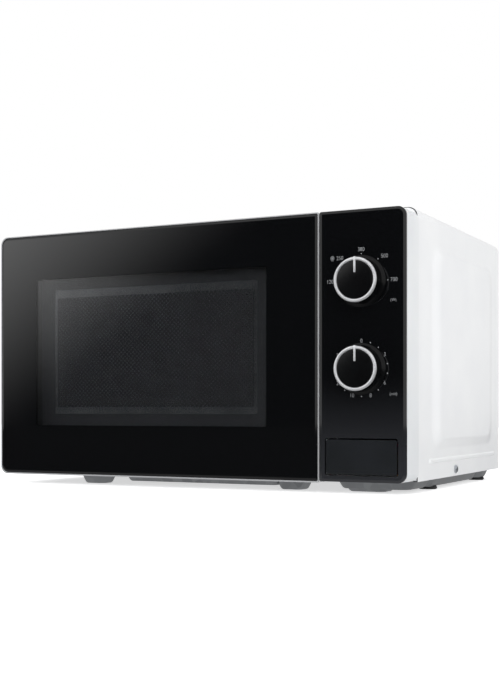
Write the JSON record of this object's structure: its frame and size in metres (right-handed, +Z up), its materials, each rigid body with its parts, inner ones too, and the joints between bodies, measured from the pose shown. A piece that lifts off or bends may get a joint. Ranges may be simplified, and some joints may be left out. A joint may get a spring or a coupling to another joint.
{
  "type": "microwave oven",
  "caption": "Countertop microwave oven with a left-hinged black glass door, perforated window, power and timer dials, and a push button that opens the door.",
  "frame": {"origin": "middle of the bounding box in X and Y, on the surface that the feet stand on", "axes": "+X to the right seen from the front, +Y to the back, +Z up"},
  "size_m": [0.443, 0.357, 0.2617],
  "materials": {
    "white_enamel": "satin white powder coat",
    "grey_enamel": "satin grey enamel",
    "galvanised_steel": "spangled zinc coat",
    "zinc_steel": "bright zinc plate",
    "spring_steel": "drawn wire",
    "screen_steel": "matt black paint",
    "core_steel": "varnished laminations",
    "ferrite": "sintered",
    "copper": "enamelled or bare copper",
    "brass": "pressed",
    "aluminium": "plain",
    "bright_trim": "satin bright plating",
    "black_glass": "polished, printed black on the back",
    "tray_glass": "clear pressed glass",
    "bulb_glass": "clear",
    "clear_film": "clear film",
    "white_plastic": "satin moulded",
    "grey_plastic": "satin moulded",
    "black_plastic": "satin moulded",
    "button_black": "gloss moulded",
    "knob_black": "gloss moulded",
    "circuit_board": "phenolic board",
    "mica": "pressed mica",
    "rubber": "matt moulded"
  },
  "bodies": {
    "oven": {"outer_cabinet": "white_enamel", "base_plate": "galvanised_steel", "rubber_feet": "rubber", "front_plate": "white_enamel", "hinge_brackets": "zinc_steel", "back_panel": "galvanised_steel", "cord_gland": "black_plastic", "rear_spacers": "black_plastic", "cabinet_screws": "zinc_steel", "cavity": "grey_enamel", "mica_cover": "mica", "waveguide": "galvanised_steel", "magnetron_anode": "copper", "magnetron_fins": "aluminium", "magnetron_magnets": "ferrite", "magnetron_yoke": "galvanised_steel", "transformer_core": "core_steel", "transformer_coils": "copper", "capacitor": "aluminium", "capacitor_clamp": "zinc_steel", "high_voltage_diode": "black_plastic", "fan_shroud": "white_plastic", "fan_motor": "core_steel", "oven_lamp": "bulb_glass", "lamp_socket": "galvanised_steel", "noise_filter": "circuit_board", "turntable_motor": "zinc_steel", "latch_body": "white_plastic", "door_switches": "black_plastic", "control_fascia": "black_glass", "control_housing": "white_plastic", "timer_unit": "grey_plastic", "timer_bell": "brass", "power_selector": "black_plastic", "button_spring": "spring_steel"},
    "door": {"door_glass": "black_glass", "door_frame": "white_plastic", "hinge_pins": "zinc_steel", "window_bezel": "black_plastic", "door_screen": "screen_steel", "door_plate": "screen_steel", "door_film": "clear_film", "choke_cover": "grey_plastic", "door_key_spring": "spring_steel"},
    "door_key": {"door_key": "grey_plastic"},
    "door_lever": {"door_lever": "grey_plastic"},
    "push_button": {"push_button": "button_black"},
    "turntable_drive": {"drive_hub": "white_plastic"},
    "tray": {"glass_tray": "tray_glass"},
    "roller_ring": {"roller_ring": "white_plastic"},
    "roller_1": {"roller_1": "white_plastic"},
    "roller_2": {"roller_2": "white_plastic"},
    "roller_3": {"roller_3": "white_plastic"},
    "fan": {"fan_rotor": "white_plastic"},
    "power_knob": {"power_knob": "knob_black", "power_knob_trim": "bright_trim", "power_shaft": "zinc_steel"},
    "timer_knob": {"timer_knob": "knob_black", "timer_knob_trim": "bright_trim", "timer_shaft": "zinc_steel"}
  },
  "joints": [
    {"name": "door_swing", "type": "hinge", "parent": "oven", "child": "door", "pos_m": [-0.2138, -0.1321, 0.1345], "axis": [0, 0, -1], "range_deg": [0, 105]},
    {"name": "push_button_press", "type": "slide", "parent": "oven", "child": "push_button", "axis": [0, 1, 0], "range_m": [0, 0.005], "stiffness_N_per_m": 300, "springref_m": -0.004, "deforming": ["button_spring"]},
    {"name": "door_lever_turn", "type": "hinge", "parent": "oven", "child": "door_lever", "pos_m": [0.122, -0.117, 0.064], "axis": [1, 0, 0], "range_deg": [0, 14.5]},
    {"name": "door_key_lift", "type": "slide", "parent": "door", "child": "door_key", "axis": [0, 0, 1], "range_m": [0, 0.003], "deforming": ["door_key_spring"]},
    {"name": "power_knob_turn", "type": "hinge", "parent": "oven", "child": "power_knob", "pos_m": [0.1786, -0.1605, 0.1921], "axis": [0, 1, 0], "range_deg": [-90, 90]},
    {"name": "timer_knob_turn", "type": "hinge", "parent": "oven", "child": "timer_knob", "pos_m": [0.1786, -0.1605, 0.1137], "axis": [0, 1, 0], "range_deg": [0, 300]},
    {"name": "turntable_spin", "type": "hinge", "parent": "oven", "child": "turntable_drive", "pos_m": [-0.039, 0.0208, 0.033], "axis": [0, 0, 1], "continuous": true},
    {"name": "tray_lift", "type": "slide", "parent": "turntable_drive", "child": "tray", "axis": [0, 0, 1], "range_m": [0, 0.05]},
    {"name": "roller_ring_spin", "type": "hinge", "parent": "oven", "child": "roller_ring", "pos_m": [-0.039, 0.0208, 0.0383], "axis": [0, 0, 1], "continuous": true},
    {"name": "fan_spin", "type": "hinge", "parent": "oven", "child": "fan", "pos_m": [0.16625, 0.1195, 0.185], "axis": [0, 1, 0], "continuous": true},
    {"name": "roller_1_spin", "type": "hinge", "parent": "roller_ring", "child": "roller_1", "pos_m": [-0.039, 0.1175, 0.0383], "axis": [0, 1, 0], "continuous": true},
    {"name": "roller_2_spin", "type": "hinge", "parent": "roller_ring", "child": "roller_2", "pos_m": [-0.12274, -0.02755, 0.0383], "axis": [-0.866, -0.5, 0], "continuous": true},
    {"name": "roller_3_spin", "type": "hinge", "parent": "roller_ring", "child": "roller_3", "pos_m": [0.04474, -0.02755, 0.0383], "axis": [0.866, -0.5, 0], "continuous": true}
  ],
  "couplings": [
    {"joint": "door_lever_turn", "follows": "push_button_press", "rad_per_m": 50.615},
    {"joint": "door_key_lift", "follows": "push_button_press", "ratio": 0.6},
    {"joint": "roller_ring_spin", "follows": "turntable_spin", "ratio": 0.5},
    {"joint": "roller_1_spin", "follows": "turntable_spin", "ratio": -6.0438},
    {"joint": "roller_2_spin", "follows": "turntable_spin", "ratio": -6.0438},
    {"joint": "roller_3_spin", "follows": "turntable_spin", "ratio": -6.0438}
  ]
}
